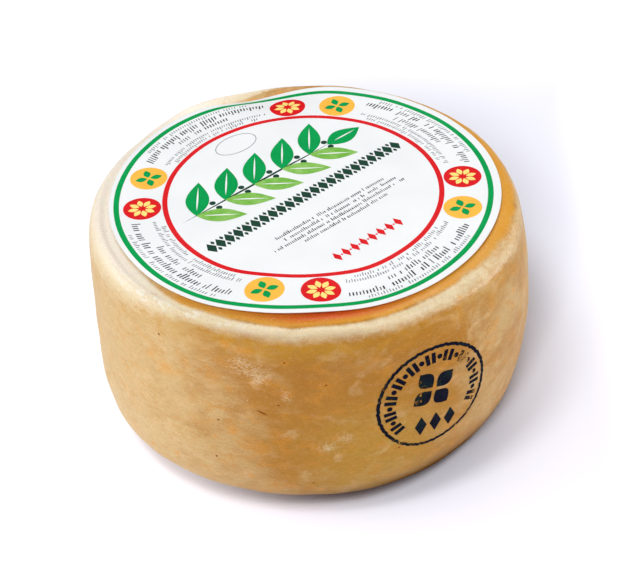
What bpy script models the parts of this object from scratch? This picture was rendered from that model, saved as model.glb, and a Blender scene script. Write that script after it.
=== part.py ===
"""A whole wheel of pressed sheep's-milk cheese with a round paper label glued to its top.

Blender 4.5, metres, +Z up. The origin is on the surface that the wheel stands on, under the
middle of its outline. -Y is the front, where the wheel's rim shows below the label.

The wheel is a flattened barrel. Each half of its profile, above and below the belly line, is a
superellipse: (r / R)^n + (h / H)^n = 1, where a larger n makes a squarer shoulder. R, n and the
heights change slowly round the wheel, because a cheese settles unevenly while it ripens.
"""

import bpy
import numpy as np

# Wheel: driving dimensions
WHEEL_RADIUS = 0.090          # mean radius at the belly line
WHEEL_HEIGHT = 0.0982         # height of the top at the wheel's axis
BELLY_HEIGHT = 0.0443         # mean height of the widest line

# Wheel: how the settled shape departs from a round one, as fractions unless named otherwise
AXIS_X = 0.0003               # the wheel's axis from the middle of its outline (m)
AXIS_Y = -0.0009
OUTLINE_FRONT = 0.010         # more radius at the front than at the back
OUTLINE_OVAL = 0.0087         # an oval outline, longest from front to back
OUTLINE_CORNERS = 0.0123      # three soft corners: at the back, front left and front right
BELLY_RISE = 0.0117           # the belly line is higher at the right, lower at the left (m)
TOP_SLOPE = 0.048             # the top rises to the right
SHOULDER_SQUARENESS = 19.0    # n of the upper profile
SHOULDER_SQUARER_LEFT = 0.30  # change of ln(n) to the left
SHOULDER_SQUARER_FRONT = 0.05  # change of ln(n) to the front
FOOT_SQUARENESS = 7.3         # n of the lower profile
FOOT_SQUARER_BACK = 0.23      # change of ln(n) to the back
WALL_LEAN = 0.0355            # the wall leans in towards the top,
WALL_LEAN_RIGHT = 0.0326      # more at the right
FOOT_TAPER = 0.1034           # the wall draws in towards the foot
FOOT_FACE_TURN = np.radians(57.0)  # where the lower profile ends, at the flat face it stands on

# Wheel: the rim, the top's waves, the dent and the hollows
RIM_LIP = 0.0007              # height of the lip that the mould leaves along the rim
RIM_LIP_AT = 0.965            # where it runs, and how wide it is, as fractions of the radius
RIM_LIP_WIDTH = 0.018
RIM_GUTTER = 0.0008           # depth of the shallow gutter between the lip and the label
RIM_GUTTER_AT = 0.925
RIM_GUTTER_WIDTH = 0.022
TOP_WAVE = 0.0011             # four slow waves across the front of the top
TOP_WAVE_AT = np.radians(272.0)
DENT_DEPTH = 0.0040           # a dent in the top near the rim, at the back left
DENT_AT = np.radians(109.0)
DENT_HALF_ANGLE = np.radians(13.0)
DENT_RADIUS = 0.900
DENT_WIDTH = 0.055
HOLLOWS = (                   # soft hollows of the top, and one swell, with a depth below 0:
    (0.0022, 103.0, 14.0, 0.82, 0.08),   # depth (m), angle and half angle (degrees), place and
    (0.0014, 291.0, 14.0, 0.74, 0.20),   # half width (fractions of the radius)
    (-0.0007, 254.0, 14.0, 0.66, 0.20))
RIM_BULGE = 0.0015            # the rim behind the dent has been pushed up and out
RIM_BULGE_AT = np.radians(126.0)
RIM_BULGE_HALF_ANGLE = np.radians(15.0)
WALL_LUMP = 0.0005            # hand-pressed unevenness of the wall

# Label: driving dimensions
LABEL_RADIUS = 0.0783
LABEL_X = -0.0028             # the label is glued on a little to the left
LABEL_Y = -0.0002
LABEL_GAP = 0.0004            # from the rind to the underside of the paper
LABEL_THICKNESS = 0.0004
LABEL_EDGE_LIFT = 0.0009      # the paper's free edge stands off the rind

# Mesh density
WHEEL_COLUMNS = 96
ROWS = 21                     # in each half of the profile
CROWDING = 0.45               # below 1, rows crowd together where the profile bends
LABEL_COLUMNS = 96
LABEL_RINGS = (0.30, 0.60, 0.80, 0.92, 1.00)


def bump(value, centre, width):
    """A smooth hill of height 1 at centre: exp(-((value - centre) / width)^2)."""
    return np.exp(-((value - centre) / width) ** 2)


def angle_from(angle, centre):
    """The signed angle from centre, between -pi and pi."""
    return (angle - centre + np.pi) % (2.0 * np.pi) - np.pi


def outline_radius(angle):
    """Radius of the belly line: mean radius, shifted to the front, oval and three-cornered."""
    shape = OUTLINE_FRONT * np.sin(angle) + OUTLINE_OVAL * np.cos(2.0 * angle)
    return WHEEL_RADIUS * (1.0 - shape - OUTLINE_CORNERS * np.sin(3.0 * angle))


def belly_line(angle):
    """Height of the widest line round the wheel."""
    return BELLY_HEIGHT + BELLY_RISE * np.cos(angle)


def superellipse(turn, squareness):
    """Point (u, w) on u^n + w^n = 1 in the direction turn, from 0 (wall) to pi/2 (axis)."""
    across, up = np.cos(turn), np.sin(turn)
    reach = (np.abs(across) ** squareness + np.abs(up) ** squareness) ** (-1.0 / squareness)
    return reach * across, reach * up


def top_relief(x, y):
    """Height of the top's unevenness over its sloping plane at (x, y)."""
    angle = np.arctan2(y, x)
    reach = np.hypot(x, y) / WHEEL_RADIUS
    front = np.clip(-np.sin(angle), 0.0, 1.0) * np.minimum(reach / 0.83, 1.0) ** 2
    wave = TOP_WAVE * front * np.cos(4.0 * (angle - TOP_WAVE_AT))
    dent = bump(angle_from(angle, DENT_AT), 0.0, DENT_HALF_ANGLE)
    dent = DENT_DEPTH * dent * bump(reach, DENT_RADIUS, DENT_WIDTH)
    for depth, at, half_angle, place, width in HOLLOWS:
        across = angle_from(angle, np.radians(at))
        dent = dent + depth * bump(across, 0.0, np.radians(half_angle)) * bump(reach, place, width)
    lip = RIM_LIP * bump(reach, RIM_LIP_AT, RIM_LIP_WIDTH)
    gutter = RIM_GUTTER * bump(reach, RIM_GUTTER_AT, RIM_GUTTER_WIDTH)
    bulge = bump(angle_from(angle, RIM_BULGE_AT), 0.0, RIM_BULGE_HALF_ANGLE)
    bulge = RIM_BULGE * bulge * np.clip((reach - 0.90) / 0.08, 0.0, 1.0)
    return wave - dent + lip - gutter + bulge


def wall_relief(angle, height):
    """How far the wall stands out at (angle, height): two slow lumps and the pushed-out rim."""
    lumps = np.sin(3.0 * angle + 55.0 * height) + 0.7 * np.sin(5.0 * angle - 38.0 * height + 1.7)
    bulge = bump(angle_from(angle, RIM_BULGE_AT), 0.0, RIM_BULGE_HALF_ANGLE)
    return WALL_LUMP * lumps + RIM_BULGE * bulge * np.clip(height / WHEEL_HEIGHT, 0.0, 1.0) ** 6


def upper_wheel(angle, turn):
    """Points (x, y, z) above the belly line, from the axis, for turn from 0 to pi/2."""
    squareness = SHOULDER_SQUARENESS * np.exp(
        -SHOULDER_SQUARER_LEFT * np.cos(angle) - SHOULDER_SQUARER_FRONT * np.sin(angle))
    lean = WALL_LEAN + WALL_LEAN_RIGHT * np.cos(angle)
    across, up = superellipse(turn, squareness)
    belly = belly_line(angle)
    radius = outline_radius(angle) * across * (1.0 - lean * up ** 2)
    radius = radius + across ** 2 * wall_relief(angle, belly + (WHEEL_HEIGHT - belly) * up)
    x, y = radius * np.cos(angle), radius * np.sin(angle)
    top = WHEEL_HEIGHT + TOP_SLOPE * x + up ** 8 * top_relief(x, y)
    return x, y, belly + (top - belly) * up


def lower_wheel(angle, turn):
    """Points (x, y, z) below the belly line, down to the flat face at FOOT_FACE_TURN."""
    squareness = FOOT_SQUARENESS * np.exp(FOOT_SQUARER_BACK * np.sin(angle))
    across, down = superellipse(turn, squareness)
    height = belly_line(angle) * (1.0 - down / superellipse(FOOT_FACE_TURN, squareness)[1])
    radius = outline_radius(angle) * across * (1.0 - FOOT_TAPER * down ** 2)
    radius = radius + across ** 2 * wall_relief(angle, height)
    x, y = radius * np.cos(angle), radius * np.sin(angle)
    return x, y, height


def top_height(x, y):
    """Height of the wheel's top at (x, y): its profile, followed inwards from the rim."""
    angle, reach = np.arctan2(y, x), np.hypot(x, y)
    low, high = np.full(angle.shape, np.pi / 4.0), np.full(angle.shape, np.pi / 2.0)
    for _ in range(40):
        middle = 0.5 * (low + high)
        at_x, at_y, _height = upper_wheel(angle, middle)
        outside = np.hypot(at_x, at_y) > reach
        low, high = np.where(outside, middle, low), np.where(outside, high, middle)
    return upper_wheel(angle, 0.5 * (low + high))[2]


def crowd(steps):
    """Turns from 0 to pi/2, crowded round pi/4, where the shoulder bends."""
    side = np.linspace(-1.0, 1.0, steps)
    return np.pi / 4.0 * (1.0 + side * (CROWDING + (1.0 - CROWDING) * side ** 2))


def rings_to_mesh(name, rings, bottom, top):
    """A closed body of rings from bottom to top. Each end is a point, or None for one flat face."""
    columns = rings.shape[1]
    verts = [tuple(p) for p in rings.reshape(-1, 3)]
    faces = []
    for row in range(rings.shape[0] - 1):
        for column in range(columns):
            right = (column + 1) % columns
            low, high = row * columns, (row + 1) * columns
            faces.append((low + column, low + right, high + right, high + column))
    for end, first, outward in ((bottom, 0, -1), (top, len(verts) - columns, 1)):
        ring = [first + column for column in range(columns)]
        if end is None:
            faces.append(tuple(ring[::outward]))
            continue
        verts.append(tuple(end))
        for column in range(columns):
            pair = (ring[column], ring[(column + 1) % columns])[::outward]
            faces.append((*pair, len(verts) - 1))
    mesh = bpy.data.meshes.new(name)
    mesh.from_pydata(verts, [], faces)
    mesh.validate()
    mesh.update()
    return mesh


def add_object(name, mesh, colour, roughness):
    """Places a mesh in the scene as a smooth object with its own material."""
    material = bpy.data.materials.new(name)
    material.use_nodes = True
    shader = material.node_tree.nodes["Principled BSDF"]
    shader.inputs["Base Color"].default_value = (*colour, 1.0)
    shader.inputs["Roughness"].default_value = roughness
    shader.inputs["Metallic"].default_value = 0.0
    mesh.materials.append(material)
    mesh.shade_smooth()
    mesh.set_sharp_from_angle(angle=np.radians(50.0))
    thing = bpy.data.objects.new(name, mesh)
    bpy.context.scene.collection.objects.link(thing)
    return thing


def build_wheel():
    """The cheese itself, one solid from its flat foot to the middle of its top."""
    angle = np.linspace(0.0, 2.0 * np.pi, WHEEL_COLUMNS, endpoint=False)[None, :]
    turn = crowd(ROWS)
    below = np.append(FOOT_FACE_TURN, turn[turn < 0.97 * FOOT_FACE_TURN][::-1])[:, None]
    above = turn[1:-1, None]
    lower = np.stack(np.broadcast_arrays(*lower_wheel(angle, below)), axis=-1)
    upper = np.stack(np.broadcast_arrays(*upper_wheel(angle, above)), axis=-1)
    rings = np.concatenate([lower, upper]) + (AXIS_X, AXIS_Y, 0.0)
    centre = np.array(upper_wheel(np.zeros(1), np.full(1, np.pi / 2.0)))[:, 0]
    mesh = rings_to_mesh("cheese_wheel", rings, None, centre + (AXIS_X, AXIS_Y, 0.0))
    return add_object("cheese_wheel", mesh, (0.62, 0.39, 0.14), 0.45)


def build_label():
    """The round paper label, a thin sheet that follows the wheel's top."""
    angle = np.linspace(0.0, 2.0 * np.pi, LABEL_COLUMNS, endpoint=False)[None, :]
    reach = np.array(LABEL_RINGS)[:, None]
    x = LABEL_X + LABEL_RADIUS * reach * np.cos(angle)
    y = LABEL_Y + LABEL_RADIUS * reach * np.sin(angle)
    lift = LABEL_GAP + LABEL_EDGE_LIFT * np.clip((reach - 0.80) / 0.20, 0.0, 1.0) ** 2
    z = top_height(x, y) + lift
    under = np.stack([x, y, z], axis=-1)
    over = np.stack([x, y, z + LABEL_THICKNESS], axis=-1)
    rings = np.concatenate([under, over[::-1]]) + (AXIS_X, AXIS_Y, 0.0)
    middle = np.array([LABEL_X, LABEL_Y, float(top_height(np.array(LABEL_X), np.array(LABEL_Y)))])
    middle += (AXIS_X, AXIS_Y, LABEL_GAP)
    mesh = rings_to_mesh("paper_label", rings, middle, middle + (0.0, 0.0, LABEL_THICKNESS))
    return add_object("paper_label", mesh, (0.88, 0.88, 0.86), 0.55)


for old in list(bpy.data.objects):
    bpy.data.objects.remove(old, do_unlink=True)
build_wheel()
build_label()
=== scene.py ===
"""Looks of a whole wheel of sheep's-milk cheese with a round printed paper on its top."""

import bmesh
import bpy
import numpy as np
from mathutils import Matrix, Vector


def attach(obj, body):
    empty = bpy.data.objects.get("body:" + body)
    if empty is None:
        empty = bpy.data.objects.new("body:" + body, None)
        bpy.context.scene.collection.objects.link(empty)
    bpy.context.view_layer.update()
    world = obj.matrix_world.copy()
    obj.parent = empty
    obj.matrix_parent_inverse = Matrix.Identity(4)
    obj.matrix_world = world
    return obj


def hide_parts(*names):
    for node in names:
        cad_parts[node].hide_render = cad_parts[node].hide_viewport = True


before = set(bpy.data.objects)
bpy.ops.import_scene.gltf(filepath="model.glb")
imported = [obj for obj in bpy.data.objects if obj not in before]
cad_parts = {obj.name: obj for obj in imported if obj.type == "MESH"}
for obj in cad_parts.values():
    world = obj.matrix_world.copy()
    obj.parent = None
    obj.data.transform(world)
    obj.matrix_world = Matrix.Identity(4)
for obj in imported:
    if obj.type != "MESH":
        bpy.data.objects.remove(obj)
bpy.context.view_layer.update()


# ---------------------------------------------------------------- view
# The wheel is seen from the front and from above, with a long lens, as on a shop's product
# picture. The camera looks at the middle of the top, then turns a little to set the wheel
# high in the frame.

SENSOR_WIDTH = 36.0                   # millimetres
LENS = 109.7
CAMERA_DISTANCE = 0.765
CAMERA_ELEVATION = np.radians(35.3)
CAMERA_YAW = 0.001
CAMERA_PITCH = -0.047
AXIS = np.array((0.0003, -0.0009))    # the wheel's axis, from the middle of its outline
TOP_OF_AXIS = 0.099


def aim_camera():
    """Camera on the front side: forward and up turn by the yaw, then by the pitch."""
    rise, run = np.sin(CAMERA_ELEVATION), np.cos(CAMERA_ELEVATION)
    forward, up, right = (np.array(v) for v in ((0, run, -rise), (0, rise, run), (1, 0, 0)))
    place = np.array((*AXIS, TOP_OF_AXIS)) - CAMERA_DISTANCE * forward
    forward, right = (np.cos(CAMERA_YAW) * forward + np.sin(CAMERA_YAW) * right,
                      np.cos(CAMERA_YAW) * right - np.sin(CAMERA_YAW) * forward)
    forward, up = (np.cos(CAMERA_PITCH) * forward + np.sin(CAMERA_PITCH) * up,
                   np.cos(CAMERA_PITCH) * up - np.sin(CAMERA_PITCH) * forward)
    data = bpy.data.cameras.new("camera")
    data.lens, data.sensor_width, data.sensor_fit = LENS, SENSOR_WIDTH, "HORIZONTAL"
    camera = bpy.data.objects.new("camera", data)
    turned = np.column_stack([right, up, -forward])
    camera.matrix_world = Matrix.Translation(Vector(place)) @ Matrix(turned.tolist()).to_4x4()
    bpy.context.scene.collection.objects.link(camera)
    bpy.context.scene.camera = camera


aim_camera()


# ---------------------------------------------------------------- cheese
# A pressed cheese of about 2.4 kg, moulded in a round basket, salted, oiled and ripened for
# months on boards. It has settled: the wall bulges, the top leans to one side and the edge of
# the top has a lip from the mould.

WHEEL_RADIUS = 0.090                  # mean radius at the belly line
WHEEL_HEIGHT = 0.0982                 # height of the top at the axis
BELLY_HEIGHT = 0.0443
BELLY_RISE = 0.0117                   # the belly line is higher at the right
OUTLINE_FRONT = 0.010                 # fractions of the radius: a shift to the front,
OUTLINE_OVAL = 0.0087                 # an oval and three soft corners
OUTLINE_CORNERS = 0.0123
TOP_SLOPE = 0.048
SHOULDER_SQUARENESS = 19.0
SHOULDER_SQUARER_LEFT = 0.30
SHOULDER_SQUARER_FRONT = 0.05
FOOT_SQUARENESS = 7.3
FOOT_SQUARER_BACK = 0.23
WALL_LEAN = 0.0355
WALL_LEAN_RIGHT = 0.0326
FOOT_TAPER = 0.1034
FOOT_FACE_TURN = np.radians(57.0)
RIM_LIP, RIM_LIP_AT, RIM_LIP_WIDTH = 0.0007, 0.965, 0.018
RIM_GUTTER, RIM_GUTTER_AT, RIM_GUTTER_WIDTH = 0.0008, 0.925, 0.022
TOP_WAVE, TOP_WAVE_AT = 0.0011, np.radians(272.0)
DENT_DEPTH, DENT_AT, DENT_HALF_ANGLE = 0.0040, np.radians(109.0), np.radians(13.0)
DENT_RADIUS, DENT_WIDTH = 0.900, 0.055
# Soft hollows (and swells, below 0) of the top: depth, angle and half angle in degrees, and the
# place and half width as fractions of the radius
HOLLOWS = ((0.0022, 103.0, 14.0, 0.82, 0.08), (0.0014, 291.0, 14.0, 0.74, 0.20),
           (-0.0007, 254.0, 14.0, 0.66, 0.20))
RIM_BULGE, RIM_BULGE_AT, RIM_BULGE_HALF_ANGLE = 0.0015, np.radians(126.0), np.radians(15.0)
WALL_LUMP = 0.0005
NOTCH_DEPTH, NOTCH_AT = 0.0009, np.radians(-95.0)      # a small notch in the lip, at the front
NOTCH_HALF_ANGLE = np.radians(1.7)
SKIN_WAVE = 0.00008                   # depth of one of the rind's shallow waves
RIND_INSET = 0.00006                  # keeps the smooth rind inside the faceted solid's box
RIND_COLUMNS = 540
SKIN_STEP = 0.0011                    # from row to row on the wall


def bump(value, centre, width):
    """A smooth hill of height 1 at centre: exp(-((value - centre) / width)^2)."""
    return np.exp(-((value - centre) / width) ** 2)


def angle_from(angle, centre):
    """The signed angle from centre, between -pi and pi."""
    return (angle - centre + np.pi) % (2.0 * np.pi) - np.pi


def outline_radius(angle):
    """Radius of the belly line: mean radius, shifted to the front, oval and three-cornered."""
    shape = OUTLINE_FRONT * np.sin(angle) + OUTLINE_OVAL * np.cos(2.0 * angle)
    return WHEEL_RADIUS * (1.0 - shape - OUTLINE_CORNERS * np.sin(3.0 * angle))


def belly_line(angle):
    """Height of the widest line round the wheel: a mean height and one slow wave."""
    return BELLY_HEIGHT + BELLY_RISE * np.cos(angle)


def superellipse(turn, squareness):
    """Point (u, w) on u^n + w^n = 1 in the direction turn, from 0 (wall) to pi/2 (axis)."""
    across, up = np.cos(turn), np.sin(turn)
    reach = (np.abs(across) ** squareness + np.abs(up) ** squareness) ** (-1.0 / squareness)
    return reach * across, reach * up


def top_relief(x, y):
    """Height over the sloping top: waves - dent - hollows + lip - gutter + pushed-up rim."""
    angle, reach = np.arctan2(y, x), np.hypot(x, y) / WHEEL_RADIUS
    front = np.clip(-np.sin(angle), 0.0, 1.0) * np.minimum(reach / 0.83, 1.0) ** 2
    wave = TOP_WAVE * front * np.cos(4.0 * (angle - TOP_WAVE_AT))
    dent = bump(angle_from(angle, DENT_AT), 0.0, DENT_HALF_ANGLE)
    dent = DENT_DEPTH * dent * bump(reach, DENT_RADIUS, DENT_WIDTH)
    for depth, at, half_angle, place, width in HOLLOWS:
        across = angle_from(angle, np.radians(at))
        dent = dent + depth * bump(across, 0.0, np.radians(half_angle)) * bump(reach, place, width)
    lip = RIM_LIP * bump(reach, RIM_LIP_AT, RIM_LIP_WIDTH)
    gutter = RIM_GUTTER * bump(reach, RIM_GUTTER_AT, RIM_GUTTER_WIDTH)
    bulge = bump(angle_from(angle, RIM_BULGE_AT), 0.0, RIM_BULGE_HALF_ANGLE)
    bulge = RIM_BULGE * bulge * np.clip((reach - 0.90) / 0.08, 0.0, 1.0)
    return wave - dent + lip - gutter + bulge


def wall_relief(angle, height):
    """How far the wall stands out: two slow lumps and the pushed-out rim above the dent."""
    lumps = np.sin(3.0 * angle + 55.0 * height) + 0.7 * np.sin(5.0 * angle - 38.0 * height + 1.7)
    bulge = bump(angle_from(angle, RIM_BULGE_AT), 0.0, RIM_BULGE_HALF_ANGLE)
    return WALL_LUMP * lumps + RIM_BULGE * bulge * np.clip(height / WHEEL_HEIGHT, 0.0, 1.0) ** 6


def upper_wheel(angle, turn):
    """(x, y, z) above the belly line, for turn from 0 to pi/2 (axis).

    A superellipse from the belly's radius and height to the top's, which leans in, plus reliefs.
    """
    squareness = SHOULDER_SQUARENESS * np.exp(
        -SHOULDER_SQUARER_LEFT * np.cos(angle) - SHOULDER_SQUARER_FRONT * np.sin(angle))
    lean = WALL_LEAN + WALL_LEAN_RIGHT * np.cos(angle)
    across, up = superellipse(turn, squareness)
    belly = belly_line(angle)
    radius = outline_radius(angle) * across * (1.0 - lean * up ** 2)
    radius = radius + across ** 2 * wall_relief(angle, belly + (WHEEL_HEIGHT - belly) * up)
    x, y = radius * np.cos(angle), radius * np.sin(angle)
    top = WHEEL_HEIGHT + TOP_SLOPE * x + up ** 8 * top_relief(x, y)
    return x, y, belly + (top - belly) * up


def lower_wheel(angle, turn):
    """(x, y, z) below the belly line, for turn from 0 down to the flat foot at its last turn."""
    squareness = FOOT_SQUARENESS * np.exp(FOOT_SQUARER_BACK * np.sin(angle))
    across, down = superellipse(turn, squareness)
    height = belly_line(angle) * (1.0 - down / superellipse(FOOT_FACE_TURN, squareness)[1])
    radius = outline_radius(angle) * across * (1.0 - FOOT_TAPER * down ** 2)
    radius = radius + across ** 2 * wall_relief(angle, height)
    return radius * np.cos(angle), radius * np.sin(angle), height


def skin_waves(x, y, z):
    """How far the skin sinks in: eight crossed sine waves of 8 to 30 mm, summed, from 0 up."""
    sunk = 0.0
    for n in range(8):
        length = 0.030 * 0.83 ** n
        way, rise = 2.4 * n, 0.9 * np.sin(1.7 * n + 0.5)
        along = x * np.cos(way) + y * np.sin(way) + rise * z
        sunk = sunk + (1.0 + np.sin(2.0 * np.pi * along / length + 1.3 * n)) * length / 0.030
    return SKIN_WAVE * sunk


def profile_turns():
    """Turns of the rows: even steps along the front's profile, closer at the rim."""
    down = np.linspace(FOOT_FACE_TURN, 0.0, 3000)
    up = np.linspace(0.0, np.pi / 2.0, 12000)[1:]
    front = -np.pi / 2.0
    lower = np.stack(np.broadcast_arrays(*lower_wheel(front, down)), axis=-1)
    upper = np.stack(np.broadcast_arrays(*upper_wheel(front, up)), axis=-1)
    points = np.concatenate([lower, upper])
    reach = np.hypot(points[:, 0], points[:, 1])
    steps = np.linalg.norm(np.diff(points, axis=0), axis=1)
    closer = 1.0 + 2.2 * ((points[:, 2] > 0.090) & (reach > 0.077)) - 0.8 * (reach < 0.075)
    run = np.append(0.0, np.cumsum(steps * closer[1:]))
    rows = np.interp(np.arange(0.0, run[-1], SKIN_STEP), run, np.arange(len(run)))
    both = np.append(-down, up)       # below the belly line the turns count down from minus
    return np.interp(rows, np.arange(len(both)), both)


def mesh_of(name, points, faces):
    """A smooth mesh of welded points, with its faces turned outwards."""
    mesh = bpy.data.meshes.new(name)
    mesh.from_pydata(points.tolist(), [], faces)
    mesh.validate()
    mesh.shade_smooth()
    mesh.set_sharp_from_angle(angle=np.radians(50.0))
    return mesh


def stacked_rings(rings, first, last):
    """Points and faces of closed rings (rows, columns, 3), whose ends draw together to points."""
    rows, columns = rings.shape[:2]
    here = np.arange(rows * columns).reshape(rows, columns)
    ahead = np.roll(here, -1, axis=1)
    quads = np.stack([here[:-1], ahead[:-1], ahead[1:], here[1:]], axis=-1).reshape(-1, 4)
    ends = [np.stack([a, b, np.full(columns, rows * columns + n)], axis=-1)
            for n, (a, b) in enumerate(((ahead[0], here[0]), (here[-1], ahead[-1])))]
    points = np.concatenate([rings.reshape(-1, 3), [first, last]])
    return points, quads.tolist() + np.concatenate(ends).tolist()


def place_piece(name, mesh, material):
    """Puts a finished mesh in the scene with its material, fixed to the part's one body."""
    mesh.materials.append(material)
    piece = bpy.data.objects.new(name, mesh)
    bpy.context.scene.collection.objects.link(piece)
    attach(piece, "root")
    return piece


def wheel_mesh():
    """The rind: rows of the profile turned round the axis, sunk in by waves, notch and inset."""
    turns = profile_turns()
    angle = np.linspace(-np.pi, np.pi, RIND_COLUMNS, endpoint=False)[None, :]
    low, high = -turns[turns <= 0.0, None], turns[turns > 0.0, None]
    rings = np.concatenate([np.stack(np.broadcast_arrays(*lower_wheel(angle, low)), axis=-1),
                            np.stack(np.broadcast_arrays(*upper_wheel(angle, high)), axis=-1)])
    x, y, z = np.moveaxis(rings, -1, 0)
    reach = np.hypot(x, y)
    on_top = np.clip((z - 0.093) / 0.004, 0.0, 1.0) * np.clip((0.089 - reach) / 0.003, 0.0, 1.0)
    notch = bump(angle_from(angle, NOTCH_AT), 0.0, NOTCH_HALF_ANGLE)
    notch = NOTCH_DEPTH * notch * bump(reach / WHEEL_RADIUS, RIM_LIP_AT, 0.03)
    free = np.clip(z / 0.006, 0.0, 1.0) * (1.0 - on_top * np.clip((0.080 - reach) / 0.004, 0, 1))
    sunk = RIND_INSET * np.minimum(z / 0.002, 1.0) + free * skin_waves(x, y, z)
    inwards = 1.0 - (sunk * (1.0 - on_top)) / np.maximum(reach, 0.01)
    z = z - on_top * (sunk + notch)
    rings = np.stack([x * inwards + AXIS[0], y * inwards + AXIS[1], z], axis=-1)
    middle = np.array((*AXIS, 0.0))
    points, faces = stacked_rings(rings, middle, middle + (0.0, 0.0, WHEEL_HEIGHT - 0.0002))
    return mesh_of("rind", points, faces), rings


def paint(red, green, blue):
    """A colour as it shows on a screen, 0 to 255, made linear for a shader."""
    shown = np.array((red, green, blue)) / 255.0
    linear = np.where(shown <= 0.04045, shown / 12.92, ((shown + 0.055) / 1.055) ** 2.4)
    return (*(float(c) for c in linear), 1.0)


def new_material(name):
    """An empty material with its Principled shader: returns the material, tree and shader."""
    material = bpy.data.materials.new(name)
    material.use_nodes = True
    tree = material.node_tree
    return material, tree, tree.nodes["Principled BSDF"]


def node(tree, kind, inputs=None, **settings):
    """Adds a shader node, sets its settings and fills or links its inputs."""
    made = tree.nodes.new("ShaderNode" + kind)
    for key, value in settings.items():
        setattr(made, key, value)
    for key, value in (inputs or {}).items():
        if isinstance(value, bpy.types.NodeSocket):
            tree.links.new(value, made.inputs[key])
        else:
            made.inputs[key].default_value = value
    return made


def blend(tree, amount, first, second):
    """Colour from first to second by an amount from 0 to 1."""
    return node(tree, "Mix", {0: amount, 6: first, 7: second}, data_type="RGBA").outputs[2]


def ramp(tree, value, low, high, start=0.0, end=1.0):
    """Value taken from low..high to start..end, smoothly and clamped."""
    made = node(tree, "MapRange", {"Value": value, 1: low, 2: high, 3: start, 4: end},
                interpolation_type="SMOOTHSTEP")
    return made.outputs["Result"]


def sums(tree, way, first, second, third=0.0):
    """One arithmetic step on two values, or first x second + third for MULTIPLY_ADD."""
    return node(tree, "Math", {0: first, 1: second, 2: third}, operation=way).outputs[0]


def times(tree, first, second):
    """The product of two values."""
    return sums(tree, "MULTIPLY", first, second)


def off_middle(tree, value):
    """How far a value is from 0.5: small along the winding lines where a noise crosses it."""
    return sums(tree, "ABSOLUTE", sums(tree, "SUBTRACT", value, 0.5), 0.0)


def noise(tree, place, scale, stretch=(1.0, 1.0, 1.0), detail=3.0, rough=0.55, warp=0.0):
    """Grey noise on the object's own coordinates, in cycles per metre over the stretch."""
    spread = node(tree, "Mapping", {"Vector": place, "Scale": stretch})
    grey = node(tree, "TexNoise", {"Vector": spread.outputs[0], "Scale": scale, "Detail": detail,
                                   "Roughness": rough, "Distortion": warp})
    return grey.outputs["Fac"]


# Pin pits and cuts in the wall: angle in degrees, height, half length, half width, tilt
PITS = ((-130.0, 0.0816, 0.0006, 0.0005, 0), (-96.5, 0.0837, 0.0005, 0.0004, 0),
        (-98.0, 0.0632, 0.0005, 0.0004, 0), (-86.5, 0.0733, 0.0005, 0.0004, 0),
        (-113.0, 0.0517, 0.0006, 0.0004, 0), (-114.0, 0.0320, 0.0005, 0.0005, 0),
        (-89.5, 0.0224, 0.0005, 0.0004, 0), (-102.0, 0.0588, 0.0022, 0.0004, 25),
        (-68.0, 0.0370, 0.0005, 0.0004, 0))
PIT_INSET, PIT_REACH = 0.0010, 0.004  # a pit's middle below the skin, and its reach inwards
# Worn, flaky spots: angle in degrees, height, half width, half height
FLAKES = ((-107.0, 0.0800, 0.0050, 0.0040), (-103.0, 0.0770, 0.0045, 0.0050),
          (-96.5, 0.0675, 0.0022, 0.0030), (-86.0, 0.0425, 0.0035, 0.0022),
          (-82.0, 0.0465, 0.0035, 0.0022))
# Orange and yellow spots, likewise
SPOTS = ((-132.8, 0.0701, 0.0026, 0.0024), (-127.8, 0.0676, 0.0062, 0.0040),
         (-111.0, 0.0885, 0.0032, 0.0022), (-106.4, 0.0872, 0.0060, 0.0026),
         (-109.4, 0.0484, 0.0036, 0.0034), (-114.0, 0.0427, 0.0017, 0.0016),
         (-96.4, 0.0837, 0.0020, 0.0013))
GOLDEN_AT = np.radians(-80.0)         # the rind is deepest in colour here
# Middle and half angle of the painted shade under the paper's edge at the front
GUTTER_RED_AT, GUTTER_RED_HALF_ANGLE = np.radians(-85.0), np.radians(20.0)
# The line where the top turns over into the shoulder: angle in degrees, distance from the axis
RIM_LINE = ((-180, 0.0865), (-150, 0.0865), (-135, 0.0842), (-120, 0.0818), (-95, 0.0839),
            (-78, 0.0826), (-60, 0.0808), (-43, 0.0802), (-28, 0.0825), (0, 0.0840),
            (90, 0.0855), (180, 0.0865))


def rise(value, start, end):
    """Smooth step from 0 at start to 1 at end: t^2 (3 - 2 t)."""
    t = np.clip((value - start) / (end - start), 0.0, 1.0)
    return t * t * (3.0 - 2.0 * t)


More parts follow.
